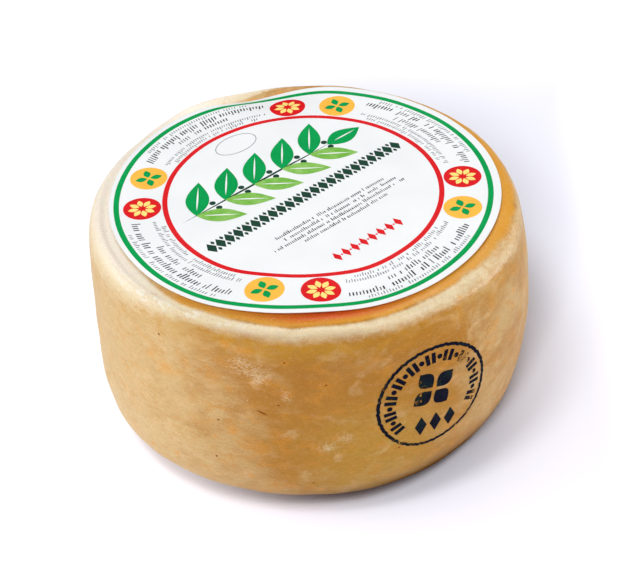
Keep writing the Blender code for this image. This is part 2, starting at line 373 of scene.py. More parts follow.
def rind_tints(mesh, rings):
    """Stores where the rind's colour differs, at each point, from 0 to 1.

    straw: away from the golden front, most to the left, partly the rind's paler tone and partly
    painted light and sheen. mellow: the lower half of that front. gutter: from the paper to the
    rim line, a deeper tone with painted glow, red: its reddest part, painted shade under the
    paper's edge. rim: a painted highlight from the rim line over the shoulder, milky: its palest
    part. ochre: the yellow edge below it. glint: painted glints on the rim at the front left.
    flakes and spots: the worn and the orange places. foot: painted shade on the lowest edge,
    most at the front right.
    """
    x, y, z = rings[..., 0] - AXIS[0], rings[..., 1] - AXIS[1], rings[..., 2]
    angle, reach = np.arctan2(y, x), np.hypot(x, y)
    away, leftwards = angle_from(angle, GOLDEN_AT), angle_from(angle, np.pi)
    # Straw is partly the rind's paler tone and partly painted light and sheen from the lamps at the
    # left and right; it is also paler low down.
    straw = np.where(away < 0.0, rise(-away, 0.05, 1.05) * (1.0 - 0.50 * rise(-away, 1.9, 3.1)),
                     0.50 * rise(away, 0.25, 0.75) * np.maximum(rise(z, 0.010, 0.045),
                                                                rise(away, 1.6, 2.6)))
    straw = np.clip(straw + 0.20 * rise(z, 0.045, 0.012), 0.0, 1.0)
    steps = np.linalg.norm(np.diff(rings, axis=0), axis=-1)
    run = np.concatenate([reach[-1:] + np.cumsum(steps[::-1], axis=0)[::-1], reach[-1:]])
    line_at, line = np.radians(np.array(RIM_LINE)[:, 0]), np.array(RIM_LINE)[:, 1]
    past = run - np.interp(angle, line_at, line)       # along the profile, outwards from the line
    upper = z > 0.08
    left = rise(leftwards, 1.05, 0.50) * rise(leftwards, -1.40, -0.90)
    right = rise(away, 0.45, 0.95) * rise(away, 3.10, 2.40)
    # The rim is a painted highlight over the shoulder, reaching in to the paper at the left; milky is
    # its brightest painted part, and the same cream also lies low on the wall at the front left.
    inner = -0.0008 - 0.0060 * left - 0.0030 * right
    rim = rise(past, inner, inner + 0.0020 + 0.0030 * right) * upper
    rim = rim * (1.0 - rise(past, 0.0025, 0.0100 + 0.0100 * left)) * (1.0 - 0.40 * right)
    milky = rim * left * (1.0 - rise(past, -0.0010, 0.0060))
    rim = np.maximum(rim, 0.40 * rise(z, 0.050, 0.030) * bump(leftwards, 0.52, 0.45))
    # The gutter: a deeper tone with a painted orange glow; red is painted shade under the paper's
    # edge at the front.
    gutter = rise(past, -0.012, -0.008) * (1.0 - rise(past, -0.0018 - 0.0035 * right, 0.0010))
    gutter = gutter * upper * (1.0 - left) * (1.0 - 0.6 * bump(leftwards, -np.pi / 2.0, 0.8))
    red = (1.0 - rise(past, -0.0042, -0.0006)) * bump(
        angle_from(angle, GUTTER_RED_AT), 0.0, GUTTER_RED_HALF_ANGLE)
    ochre = rise(past, 0.0050, 0.0085) * (1.0 - rise(past, 0.0100, 0.0200)) * upper
    ochre = ochre * (0.35 + 0.65 * bump(angle_from(angle, np.radians(-95.0)), 0.0, 0.42))
    # Painted glints on the rim at the front left.
    glint = rise(past, 0.0, 0.0015) * (1.0 - rise(past, 0.0035, 0.0070)) * upper
    glint = glint * bump(angle_from(angle, np.radians(-128.0)), 0.0, 0.36)
    flakes, spots = np.zeros_like(x), np.zeros_like(x)
    for places, tint in ((FLAKES, flakes), (SPOTS, spots)):
        for degrees, height, half_wide, half_high in places:
            across = angle_from(angle, np.radians(degrees)) * reach / half_wide
            off = np.hypot(across, (z - height) / half_high)
            np.maximum(tint, bump(off, 0.0, 1.0), out=tint)
    # Painted shade on the lowest edge, darkest at the front right.
    foot = np.maximum(0.25 * rise(z, 0.0125, 0.003), rise(z - 0.012 * np.cos(angle), 0.0195, 0.005)
                      * bump(angle_from(angle, np.radians(-52.0)), 0.0, 0.72))
    mellow = rise(z, 0.078, 0.040) * bump(angle_from(angle, np.radians(-74.0)), 0.0, 0.33)
    tints = {"straw": straw, "mellow": mellow, "gutter": gutter, "red": red, "rim": rim,
             "milky": milky, "ochre": ochre, "glint": glint, "flakes": flakes, "spots": spots,
             "foot": foot}
    for name, values in tints.items():
        stored = mesh.attributes.new(name, "FLOAT", "POINT")
        stored.data.foreach_set("value", np.append(values.ravel(), (0.0, 0.0)))


def scattered(tree, place, scale, kept, widest, narrowest, channel=0):
    """Round marks: one in each Voronoi cell whose own random value is over `kept`."""
    cells = node(tree, "TexVoronoi", {"Vector": place, "Scale": scale})
    chance = node(tree, "SeparateColor", {0: cells.outputs["Color"]}).outputs[channel]
    return times(tree, ramp(tree, cells.outputs["Distance"], widest, narrowest),
                 sums(tree, "GREATER_THAN", chance, kept))


def pin_pits(tree, place):
    """1 in every pit: a ball stretched along the wall, tilted, and reaching through the skin."""
    pits = 0.0
    for degrees, height, half_long, half_wide, tilt in PITS:
        angle = np.radians(degrees)
        radius = outline_radius(angle) - PIT_INSET
        spot = (radius * np.cos(angle) + AXIS[0], radius * np.sin(angle) + AXIS[1], height)
        local = node(tree, "Mapping", {"Vector": place, "Location": spot,
                                       "Rotation": (0.0, np.radians(tilt), angle + np.pi / 2),
                                       "Scale": (half_long, PIT_REACH, half_wide)},
                     vector_type="TEXTURE")
        away = node(tree, "VectorMath", {0: local.outputs[0]}, operation="LENGTH")
        pits = sums(tree, "MAXIMUM", pits, ramp(tree, away.outputs["Value"], 1.25, 0.7))
    return pits


# The cream, milky and glint colours also paint the rim's highlight, the gutter colours its glow and
# the shade under the paper, and the darkest colour the shade on the foot.
GOLDEN, MELLOW, STRAW = paint(184, 125, 32), paint(197, 151, 50), paint(218, 188, 134)
CREAM, MILKY_HIGHLIGHT, PALE = paint(236, 223, 188), paint(253, 243, 228), paint(232, 200, 152)
AMBER, BROWN, OCHRE = paint(220, 150, 44), paint(172, 104, 30), paint(198, 146, 26)
GUTTER, GUTTER_SHADE, PAINTED_GLINT = paint(222, 156, 48), paint(212, 76, 18), paint(250, 246, 234)
SCRATCH, SPOT, FLAKE = paint(160, 84, 30), paint(232, 158, 48), paint(246, 226, 194)
SPECK, PALE_SPECK, PIT = paint(124, 66, 26), paint(244, 214, 172), paint(126, 54, 16)
FOOT_SHADE = paint(58, 24, 8)


def rind_material():
    """Oiled rind: golden to straw, with thin coats of other tones laid one over another.

    The coats are amber, pale and brown patches, fine level streaks, the gutter with its painted
    glow and shade, the rim's painted highlight and glints, scratches, orange spots, fine grain,
    lacy pale flakes, specks, pin pits and the painted shade on the foot.
    """
    material, tree, shader = new_material("oiled_rind")
    place = node(tree, "TexCoord").outputs["Object"]
    straw, mellow, gutter, red, rim, milky, ochre, glint, flakes, spots, foot = (
        node(tree, "Attribute", attribute_name=name).outputs["Fac"] for name in (
            "straw", "mellow", "gutter", "red", "rim", "milky", "ochre", "glint", "flakes",
            "spots", "foot"))
    cloud = noise(tree, place, 52.0, (1.0, 1.0, 1.4), 3.0, 0.55, 0.4)
    patch = noise(tree, place, 120.0, (1.0, 1.0, 1.5), 2.5, 0.55, 0.5)
    blush = noise(tree, place, 88.0, (1.0, 1.0, 1.4), 3.0, 0.55, 0.6)
    smear = noise(tree, place, 230.0, (1.0, 1.0, 2.2), 5.0, 0.68, 0.8)
    streak = noise(tree, place, 460.0, (1.0, 1.0, 3.4), 5.0, 0.75, 1.2)
    grain = noise(tree, place, 1300.0, (1.0, 1.0, 1.5), 3.0, 0.65)
    winding = noise(tree, place, 120.0, (1.0, 1.0, 2.8), 2.0, 0.6, 0.6)
    ragged = noise(tree, place, 400.0, (1.0, 1.0, 1.4), 2.0, 0.55, 0.8)

    shifted = sums(tree, "ADD", straw, ramp(tree, cloud, 0.34, 0.66, -0.22, 0.20))
    gutter_tone_and_shade = sums(tree, "ADD", gutter, ramp(tree, patch, 0.30, 0.70, -0.20, 0.16))
    rim_highlight = sums(tree, "ADD", rim, ramp(tree, smear, 0.30, 0.70, 0.12, -0.22))
    scratches = times(tree, ramp(tree, off_middle(tree, winding), 0.007, 0.002),
                      ramp(tree, patch, 0.52, 0.60))
    spotted = sums(tree, "MAXIMUM", scattered(tree, place, 95.0, 0.70, 0.20, 0.06, 1), ramp(
        tree, sums(tree, "MULTIPLY_ADD", smear, 0.9, spots), 0.60, 1.60, 0.0, 0.85))
    lace = ramp(tree, off_middle(tree, ragged), 0.045, 0.018)
    flaking = sums(tree, "MAXIMUM", times(tree, lace, flakes), ramp(
        tree, times(tree, flakes, ragged), 0.30, 0.48, 0.0, 0.28))
    specks = sums(tree, "MAXIMUM", scattered(tree, place, 85.0, 0.72, 0.055, 0.0275),
                  scattered(tree, place, 240.0, 0.80, 0.090, 0.045))
    pits = pin_pits(tree, place)

    colour = blend(tree, ramp(tree, shifted, 0.0, 1.0), blend(tree, mellow, GOLDEN, MELLOW), STRAW)
    for amount, coat in (
            (times(tree, ramp(tree, patch, 0.47, 0.70, 0.0, 0.50),
                   ramp(tree, straw, 0.3, 1.0, 1.0, 0.55)), AMBER),
            (ramp(tree, blush, 0.52, 0.74, 0.0, 0.42), PALE),
            (times(tree, ramp(tree, smear, 0.48, 0.70, 0.0, 0.36),
                   ramp(tree, straw, 0.0, 1.0, 1.0, 0.50)), BROWN),
            (ramp(tree, streak, 0.50, 0.68, 0.0, 0.28), BROWN),
            (times(tree, ramp(tree, streak, 0.48, 0.32, 0.0, 0.24),
                   ramp(tree, straw, 0.0, 0.8, 0.30, 1.0)), CREAM),
            (times(tree, ochre, ramp(tree, patch, 0.35, 0.65, 0.30, 0.80)), OCHRE),
            # the gutter's deeper tone with painted glow, then the painted shade under the paper's
            # edge
            (ramp(tree, gutter_tone_and_shade, 0.10, 0.90, 0.0, 0.88), GUTTER),
            (times(tree, times(tree, gutter, red), 0.95), GUTTER_SHADE),
            # the painted highlight on the rim, its milky part and painted glints
            (ramp(tree, rim_highlight, 0.0, 1.10, 0.0, 0.84), CREAM),
            (times(tree, milky, 0.9), MILKY_HIGHLIGHT),
            (times(tree, times(tree, glint, ramp(tree, smear, 0.50, 0.60)), 0.75), PAINTED_GLINT),
            (times(tree, scratches, 0.22), SCRATCH),
            (times(tree, spotted, 0.55), SPOT),
            (times(tree, ramp(tree, grain, 0.40, 0.64), 0.13), BROWN),
            (ramp(tree, grain, 0.46, 0.32, 0.0, 0.12), CREAM),
            (times(tree, flaking, 0.62), FLAKE),
            (times(tree, specks, 0.5), blend(tree, ramp(tree, blush, 0.45, 0.55), SPECK, PALE_SPECK)),
            (times(tree, pits, 0.8), PIT),
            # the painted shade on the foot
            (times(tree, foot, 0.9), FOOT_SHADE)):
        colour = blend(tree, amount, colour, coat)
    height = times(tree, grain, 0.15)
    for raised, share in ((streak, 0.30), (patch, 0.5), (flaking, 0.3), (specks, -0.4),
                          (pits, -0.5)):
        height = sums(tree, "MULTIPLY_ADD", raised, share, height)
    relief = node(tree, "Bump", {"Strength": 0.35, "Distance": 0.0004, "Height": height})
    tree.links.new(colour, shader.inputs["Base Color"])
    tree.links.new(relief.outputs[0], shader.inputs["Normal"])
    tree.links.new(ramp(tree, cloud, 0.3, 0.8, 0.34, 0.48), shader.inputs["Roughness"])
    # less specular reflection in the pits and in the foot's painted shade
    tree.links.new(ramp(tree, sums(tree, "MAXIMUM", pits, foot), 0.0, 0.8, 0.28, 0.0),
                   shader.inputs["Specular IOR Level"])
    for name, value in (("Subsurface Weight", 0.15), ("Subsurface Radius", (1.0, 0.45, 0.15)),
                        ("Subsurface Scale", 0.003), ("Coat Weight", 0.06),
                        ("Coat Roughness", 0.22)):
        shader.inputs[name].default_value = value
    return material


rind_skin, rind_rings = wheel_mesh()
rind_tints(rind_skin, rind_rings)
rind = place_piece("rind", rind_skin, rind_material())
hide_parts("cheese_wheel")


# ---------------------------------------------------------------- paper
# A round of white coated paper, 157 mm across, pasted on the top a little to the left. It
# follows the top, into the dent at the back, and its free edge stands off the rind.

PAPER_RADIUS = 0.0783
PAPER_CENTRE = np.array((-0.0028, -0.0002))   # from the wheel's axis
PAPER_GAP = 0.00035
PAPER_THICKNESS = 0.00022
PAPER_EDGE_LIFT = 0.0010
PAPER_COCKLE = 0.00012
PAPER_COLUMNS = 360
PAPER_GREY = paint(120, 130, 140)


def top_height(x, y):
    """Height of the cheese's top: its profile, followed inwards from the rim by halving."""
    angle, reach = np.arctan2(y, x), np.hypot(x, y)
    low, high = np.full(angle.shape, np.pi / 4.0), np.full(angle.shape, np.pi / 2.0)
    for _ in range(36):
        middle = 0.5 * (low + high)
        at_x, at_y, _height = upper_wheel(angle, middle)
        outside = np.hypot(at_x, at_y) > reach
        low, high = np.where(outside, middle, low), np.where(outside, high, middle)
    return upper_wheel(angle, 0.5 * (low + high))[2]


def paper_height(x, y):
    """Height of the paper's face: the top, a gap, the lifted edge and a slight cockle."""
    across = np.hypot(x - PAPER_CENTRE[0], y - PAPER_CENTRE[1]) / PAPER_RADIUS
    angle = np.arctan2(y - PAPER_CENTRE[1], x - PAPER_CENTRE[0])
    free = np.clip((across - 0.80) / 0.20, 0.0, 1.0) ** 2
    lift = PAPER_EDGE_LIFT * free * (0.82 + 0.18 * np.cos(3.0 * angle + 1.0))
    cockle = PAPER_COCKLE * (np.sin(170.0 * x + 60.0 * y) * np.sin(150.0 * y - 40.0 * x + 1.0))
    return top_height(x, y) + PAPER_GAP + PAPER_THICKNESS + lift + cockle


def paper_mesh():
    """The sheet: rings from the middle of the underside to the edge and back over the face."""
    angle = np.linspace(0.0, 2.0 * np.pi, PAPER_COLUMNS, endpoint=False)[None, :]
    reach = np.concatenate([np.linspace(0.02, 0.78, 40), np.linspace(0.79, 1.0, 22)])[:, None]
    x = PAPER_CENTRE[0] + PAPER_RADIUS * reach * np.cos(angle)
    y = PAPER_CENTRE[1] + PAPER_RADIUS * reach * np.sin(angle)
    face = np.stack([x + AXIS[0], y + AXIS[1], paper_height(x, y)], axis=-1)
    under = face - (0.0, 0.0, PAPER_THICKNESS)
    middle = np.array((*(PAPER_CENTRE + AXIS), float(paper_height(*PAPER_CENTRE))))
    points, faces = stacked_rings(np.concatenate([under, face[::-1]]),
                                  middle - (0.0, 0.0, PAPER_THICKNESS), middle)
    return mesh_of("paper", points, faces)


def paper_grain_group():
    """Shared by the paper and its inks: a fibre height and a slight, slow greying."""
    tree = bpy.data.node_groups.new("paper_grain", "ShaderNodeTree")
    for name in ("Fibre", "Greying"):
        tree.interface.new_socket(name, in_out="OUTPUT", socket_type="NodeSocketFloat")
    out = tree.nodes.new("NodeGroupOutput")
    place = node(tree, "TexCoord").outputs["Object"]
    tree.links.new(noise(tree, place, 900.0, detail=4.0, rough=0.65), out.inputs["Fibre"])
    tree.links.new(noise(tree, place, 30.0, detail=2.0, rough=0.5), out.inputs["Greying"])
    return tree


def coated_paper(name, colour, second=None, mottled=0.0, greyed=0.0, gloss=0.10):
    """Coated paper or ink on it: one colour, or two that mottle, with the paper's fibre."""
    material, tree, shader = new_material(name)
    grain = node(tree, "Group")
    grain.node_tree = paper_grain
    shade = blend(tree, ramp(tree, grain.outputs["Greying"], 0.35, 0.70, 0.0, greyed),
                  paint(*colour), PAPER_GREY)
    if second:
        place = node(tree, "TexCoord").outputs["Object"]
        patch = ramp(tree, noise(tree, place, 190.0, detail=4.0, rough=0.7), 0.35, 0.68)
        shade = blend(tree, times(tree, patch, mottled), shade, paint(*second))
    relief = node(tree, "Bump", {"Strength": 0.12, "Distance": 0.0001,
                                 "Height": grain.outputs["Fibre"]})
    tree.links.new(shade, shader.inputs["Base Color"])
    tree.links.new(relief.outputs[0], shader.inputs["Normal"])
    tree.links.new(ramp(tree, grain.outputs["Fibre"], 0.2, 0.8, 0.40, 0.50),
                   shader.inputs["Roughness"])
    shader.inputs["Specular IOR Level"].default_value = gloss
    return material


paper_grain = paper_grain_group()
paper = place_piece("paper", paper_mesh(), coated_paper("coated_paper", (240, 242, 243),
                                                       greyed=0.06, gloss=0.3))
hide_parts("paper_label")


# ---------------------------------------------------------------- printed rings and roundels
# The paper is printed in flat inks: a green ring round its edge, a red ring inside it and,
# between them, four pairs of roundels. Each ink is a thin film that follows the paper.

INK = 0.00003                         # one layer of ink
PRINT_CENTRE = np.array((-0.0034, -0.0005))       # from the wheel's axis
PRINT_TURN = np.radians(42.0)         # the picture's level line, from the wheel's right
GREEN_RING, GREEN_RING_WIDTH = 0.0747, 0.0022
RED_RING, RED_RING_WIDTH = 0.0553, 0.0021
ROUNDEL_AT, ROUNDEL_RADIUS = 0.0644, 0.0076
ROUNDEL_PAIR_AT, ROUNDEL_HALF_APART = np.radians(86.7), np.radians(9.45)


def oval_line(u, v, half_long, half_wide, line, columns=420, rows=4):
    """A closed line round an oval or a ring: its width in rows, the angle along it in columns."""
    angle = np.linspace(0.0, 2.0 * np.pi, columns, endpoint=False)
    across = np.linspace(line / 2.0, -line / 2.0, rows)[:, None]
    return ((u + (half_long + across) * np.cos(angle))[None],
            (v + (half_wide + across) * np.sin(angle))[None], True)


def disc(x, y, radius, columns=40, rows=5):
    """Discs at every (x, y): radius from the edge in to a point, angle round."""
    angle = np.linspace(0.0, 2.0 * np.pi, columns, endpoint=False)
    across = radius * np.linspace(1.0, 0.0, rows)[:, None]
    x, y = np.atleast_1d(x)[:, None, None], np.atleast_1d(y)[:, None, None]
    return x + across * np.cos(angle), y + across * np.sin(angle), True


def leaf(start, tip, width, bend=0.0, blunt=0.0, rows=28, columns=9):
    """A leaf: s from stalk to tip on a bowed midrib, t across; width as sin(pi s^(1 - blunt))."""
    start, tip = np.array(start, float), np.array(tip, float)
    s, t = np.linspace(0.0, 1.0, rows)[:, None], np.linspace(-0.5, 0.5, columns)[None, :]
    along = tip - start
    side = np.array((-along[1], along[0]))
    half = width * np.sin(np.pi * s ** (1.0 - blunt)) / np.hypot(*along)
    offset = bend * 4.0 * s * (1.0 - s) + t * half
    x = start[0] + s * along[0] + offset * side[0]
    y = start[1] + s * along[1] + offset * side[1]
    return x[None], y[None], False


def on_paper(x, y, lift):
    """Points of the paper's face at print places (x, y), raised by a number of ink layers."""
    x, y = x + PRINT_CENTRE[0], y + PRINT_CENTRE[1]
    return np.stack([x + AXIS[0], y + AXIS[1], paper_height(x, y) + INK * lift], axis=-1)


def film(name, patches, layer, place, material, strengths=None):
    """A thin closed film: each patch is (x, y, joined), places by rows by columns.

    Its upper sheet lies `layer` inks up and its lower one `layer` - 0.8, with walls between.
    """
    above, below, faces, first = [], [], [], 0
    total = sum(x.size for x, _y, _joined in patches)
    for x, y, joined in patches:
        at = first + np.arange(x.size).reshape(x.shape)
        here, ahead = (at, np.roll(at, -1, 2)) if joined else (at[..., :-1], at[..., 1:])
        faces.append(np.stack([here[:, :-1], ahead[:, :-1], ahead[:, 1:], here[:, 1:]], -1))
        under = faces[-1][..., ::-1] + total
        walls = [(here[:, 0], ahead[:, 0]), (ahead[:, -1], here[:, -1])]
        if not joined:
            walls += [(at[:, 1:, 0], at[:, :-1, 0]), (at[:, :-1, -1], at[:, 1:, -1])]
        faces += [under] + [np.stack([b, a, a + total, b + total], -1) for a, b in walls]
        above.append(place(x, y, layer).reshape(-1, 3))
        below.append(place(x, y, layer - 0.8).reshape(-1, 3))
        first += x.size
    mesh = bpy.data.meshes.new(name)
    quads = np.concatenate([f.reshape(-1, 4) for f in faces])
    mesh.from_pydata(np.concatenate(above + below).tolist(), [], quads.tolist())
    if strengths is not None:
        stored = mesh.attributes.new("inked", "FLOAT", "POINT")
        stored.data.foreach_set("value", np.tile(strengths, 2))
    shell = bmesh.new()
    shell.from_mesh(mesh)
    bmesh.ops.remove_doubles(shell, verts=shell.verts, dist=1e-6)
    bmesh.ops.recalc_face_normals(shell, faces=shell.faces)
    shell.to_mesh(mesh)
    shell.free()
    mesh.shade_smooth()
    mesh.set_sharp_from_angle(angle=np.radians(40.0))
    return place_piece(name, mesh, material)


pair_angle = ROUNDEL_PAIR_AT - np.arange(4) * np.pi / 2.0
red_x, red_y = (ROUNDEL_AT * f(pair_angle + ROUNDEL_HALF_APART) for f in (np.cos, np.sin))
amber_x, amber_y = (ROUNDEL_AT * f(pair_angle - ROUNDEL_HALF_APART) for f in (np.cos, np.sin))

green_ink = coated_paper("green_ink", (0, 158, 80), (0, 142, 70), 0.5, gloss=0.04)
red_ink = coated_paper("red_ink", (222, 14, 24), (204, 12, 22), 0.4)
amber_ink = coated_paper("amber_ink", (253, 190, 72), (250, 178, 60), 0.5)
for name, radius, width, ink in (("green_ring", GREEN_RING, GREEN_RING_WIDTH, green_ink),
                                 ("red_ring", RED_RING, RED_RING_WIDTH, red_ink)):
    film(name, [oval_line(0.0, 0.0, radius, radius, width)], 1, on_paper, ink)
film("amber_roundels", [disc(amber_x, amber_y, ROUNDEL_RADIUS)], 1, on_paper, amber_ink)
film("red_roundels", [disc(red_x, red_y, ROUNDEL_RADIUS)], 1, on_paper, red_ink)


def petals(x, y, inner, outer, count, width):
    """Flowers at every (x, y): petals as leaves from the inner to the outer radius."""
    made = []
    for at_x, at_y in zip(x, y):
        for n in range(count):
            way = 2.0 * np.pi * n / count + 0.3
            reach = np.array((np.cos(way), np.sin(way)))
            made.append(leaf((at_x, at_y) + inner * reach, (at_x, at_y) + outer * reach,
                             width, rows=9, columns=3))
    return made


straw_ink = coated_paper("straw_ink", (255, 226, 130))
film("roundel_flowers", petals(red_x, red_y, 0.0014, 0.0058, 8, 0.0024), 2, on_paper, straw_ink)
film("roundel_leaves", petals(amber_x, amber_y, 0.0006, 0.0056, 4, 0.0030), 2, on_paper, green_ink)


# ---------------------------------------------------------------- picture of a branch
# In the middle is one level branch: green leaves over its stem, light ones with a mottled tone
# under it and dark berries between them. A band of dark lozenges lies under it, and near the
# foot a row of red lozenges and dots.

STEM_AT = 0.0185                      # height of the stem over the picture's level line
STEM_FOOT, STEM_HEAD = -0.0470, 0.0330
LEAF_FEET = np.linspace(-0.0400, 0.0200, 5)
LEAF_LEAN = 0.0150                    # how far on from its foot a leaf's tip stands
LEAF_RISE, LEAF_DROP = 0.0170, -0.0135
LEAF_WIDTH, VEIN_WIDTH = 0.0095, 0.0007
END_LEAF = (0.0300, 0.0480)
BERRY_AHEAD, BERRY_OFF_STEM, BERRY_RADIUS = 0.0100, 0.0021, 0.0013


def picture(u, v):
    """Print place of (u, v), where u runs along the picture's level line and v up from it."""
    return (u * np.cos(PRINT_TURN) - v * np.sin(PRINT_TURN),
            u * np.sin(PRINT_TURN) + v * np.cos(PRINT_TURN))


def turned(patch):
    """A patch drawn in the picture's own (u, v), taken to the print."""
    return (*picture(patch[0], patch[1]), patch[2])


def lozenges(u, v, half_wide, half_high):
    """Lozenges at every (u, v): rows from the foot to the head, two columns, width 1 - |s|."""
    s = np.linspace(-1.0, 1.0, 5)[:, None]
    t = np.array((-1.0, 1.0))[None, :]
    u, v = np.atleast_1d(u)[:, None, None], np.broadcast_to(v, np.shape(u))[:, None, None]
    return u + half_wide * (1.0 - np.abs(s)) * t, v + half_high * s + 0.0 * t, False


def side_leaves(rise, width, first=0.0, last=1.0):
    """A leaf at each foot along the stem, from one share of its length to another."""
    made = []
    for u in LEAF_FEET:
        foot, reach = np.array((u, STEM_AT)), np.array((LEAF_LEAN, rise))
        made.append(turned(leaf(foot + first * reach, foot + last * reach, width, 0.0, 0.12,
                                40, 11)))
    return made


def end_leaf(width, start, end):
    """The leaf at the stem's head, or its vein."""
    return [turned(leaf((start, STEM_AT), (end, STEM_AT), width, 0.0, 0.12, 40, 11))]


light_ink = coated_paper("light_green_ink", (112, 178, 62), (158, 204, 112), 0.7)
dark_ink = coated_paper("dark_green_ink", (10, 62, 44), (6, 48, 36), 0.4)
grey_ink = coated_paper("grey_ink", (120, 122, 126))
white_ink = coated_paper("unprinted_white", (240, 242, 242))
berry_u = LEAF_FEET + BERRY_AHEAD
film("green_leaves", side_leaves(LEAF_RISE, LEAF_WIDTH) + end_leaf(LEAF_WIDTH, *END_LEAF), 2,
     on_paper, green_ink)
film("light_leaves", side_leaves(LEAF_DROP, 0.9 * LEAF_WIDTH), 2, on_paper, light_ink)
film("leaf_veins", side_leaves(LEAF_RISE, VEIN_WIDTH, 0.15, 0.85)
     + side_leaves(LEAF_DROP, VEIN_WIDTH, 0.15, 0.85)
     + end_leaf(VEIN_WIDTH, END_LEAF[0] + 0.0040, END_LEAF[1] - 0.0025), 3, on_paper, white_ink)
film("stem_and_berries", [turned(leaf((STEM_FOOT, STEM_AT), (STEM_HEAD, STEM_AT), 0.0011)),
                          turned(disc(berry_u, STEM_AT + BERRY_OFF_STEM, BERRY_RADIUS, 16, 3)),
                          turned(disc(berry_u, STEM_AT - BERRY_OFF_STEM, BERRY_RADIUS, 16, 3))],
     1, on_paper, dark_ink)
band_u = np.linspace(-0.049, 0.049, 23)
film("dark_band", [turned(lozenges(band_u, -0.0020, 0.0021, 0.0034)),
                   turned(lozenges(band_u[:-1] + 0.0022, 0.0004, 0.0008, 0.0013)),
                   turned(lozenges(band_u[:-1] + 0.0022, -0.0044, 0.0008, 0.0013))], 1,
     on_paper, dark_ink)


# ---------------------------------------------------------------- fine print
# Where a maker prints small type, this paper has rows of fine upright strokes in grey and
# dark inks: four groups between the roundels and a short block under the picture.

draw = np.random.default_rng(12)


def stroke_rows(start, end, base, pitch, tall, wide):
    """Upright strokes from start to end in words: place along, foot, width and height of each."""
    at = np.arange(start, end, pitch)
    at = at[draw.random(at.size) > 0.14]
    rise = tall * draw.choice((0.62, 0.62, 0.7, 1.0), at.size)
    return at, np.full(at.size, base), wide * draw.uniform(0.7, 1.2, at.size), rise


def strokes(at, foot, wide, rise):
    """Each stroke as a patch of two rows and two columns, (u, v)."""
    t, s = np.array((-0.5, 0.5))[None, None, :], np.array((0.0, 1.0))[None, :, None]
    u = at[:, None, None] + wide[:, None, None] * t + 0.18 * rise[:, None, None] * s
    return u, foot[:, None, None] + rise[:, None, None] * s + 0.0 * t, False


def round_strokes(radius, half_angle, pitch, tall, wide, middle):
    """Strokes standing on an arc, heads towards the middle: length along it as an angle."""
    length = radius * half_angle
    u, v, joined = strokes(*stroke_rows(-length, length, 0.0, pitch, tall, wide))
    angle, reach = middle + u / radius, radius - v
    return reach * np.cos(angle), reach * np.sin(angle), joined


ARC_ROWS = ((0.0726, 21.5, 0.00125, 0.0021, 0.00042, "pale"),   # radius, half angle, pitch,
            (0.0698, 27.0, 0.00140, 0.0035, 0.00058, "dark"),   # height, stroke, ink
            (0.0655, 11.5, 0.00135, 0.0029, 0.00050, "dark"),
            (0.0615, 26.0, 0.00110, 0.0020, 0.00042, "pale"),
            (0.0590, 22.0, 0.00110, 0.0020, 0.00042, "pale"))
BLOCK_ROWS = ((-0.0165, -0.028, 0.029), (-0.0195, -0.026, 0.033), (-0.0225, -0.034, 0.035),
              (-0.0255, -0.021, 0.023))
inked = {"pale": [], "dark": []}
for quarter in range(4):
    between = ROUNDEL_PAIR_AT - np.radians(45.0) - quarter * np.pi / 2.0
    for radius, half, pitch, tall, wide, tone in ARC_ROWS:
        inked[tone].append(round_strokes(radius, np.radians(half), pitch, tall, wide, between))
for foot, start, end in BLOCK_ROWS:
    inked["dark"].append(turned(strokes(*stroke_rows(start, end, foot, 0.00090, 0.0019, 0.00042))))
black_ink = coated_paper("black_ink", (34, 32, 36))
film("fine_print_pale", inked["pale"], 1, on_paper, grey_ink)
film("fine_print_dark", inked["dark"], 1, on_paper, black_ink)

row_u = np.linspace(-0.019, 0.013, 8)
film("red_lozenges", [turned(lozenges(row_u, -0.0410, 0.0015, 0.0030)),
                      turned(disc(row_u[:-1] + 0.0023, -0.0410, 0.0005, 8, 2))], 1, on_paper,
     red_ink)
film("grey_oval", [turned(oval_line(0.0037, 0.0460, 0.0098, 0.0058, 0.0003, 90, 2))], 1, on_paper,
     grey_ink)


# ---------------------------------------------------------------- ink stamp on the wall
# The wall was stamped with a round rubber stamp, 47 mm across, in blue-black ink. The ink took
# unevenly on the oily rind.

STAMP_ANGLE, STAMP_HEIGHT = np.radians(-58.9), 0.0583
STAMP_RADIUS = 0.0234
BLUE_INK, GREEN_BLACK_INK = paint(4, 6, 34), paint(6, 34, 42)


def wall_radius(angle, height):
    """Distance of the wall from the axis at a height, found by halving on both profiles."""
    above = height > belly_line(angle)
    low, high = np.zeros_like(angle), np.where(above, np.pi / 4.0, FOOT_FACE_TURN)
    for _ in range(36):
        middle = 0.5 * (low + high)
        up, down = upper_wheel(angle, middle), lower_wheel(angle, middle)
        inside = np.where(above, up[2] < height, down[2] > height)
        low, high = np.where(inside, middle, low), np.where(inside, high, middle)
    up, down = upper_wheel(angle, low), lower_wheel(angle, low)
    return np.where(above, np.hypot(up[0], up[1]), np.hypot(down[0], down[1]))


def on_wall(u, v, lift):
    """Points of the wall round the stamp's middle: u along the wall, v up, and ink layers."""
    angle, height = STAMP_ANGLE + u / WHEEL_RADIUS, STAMP_HEIGHT + v
    reach = wall_radius(angle, height)
    sunk = RIND_INSET + skin_waves(reach * np.cos(angle), reach * np.sin(angle), height)
    reach = reach - sunk + INK * lift
    return np.stack([reach * np.cos(angle) + AXIS[0], reach * np.sin(angle) + AXIS[1],
                     height], axis=-1)


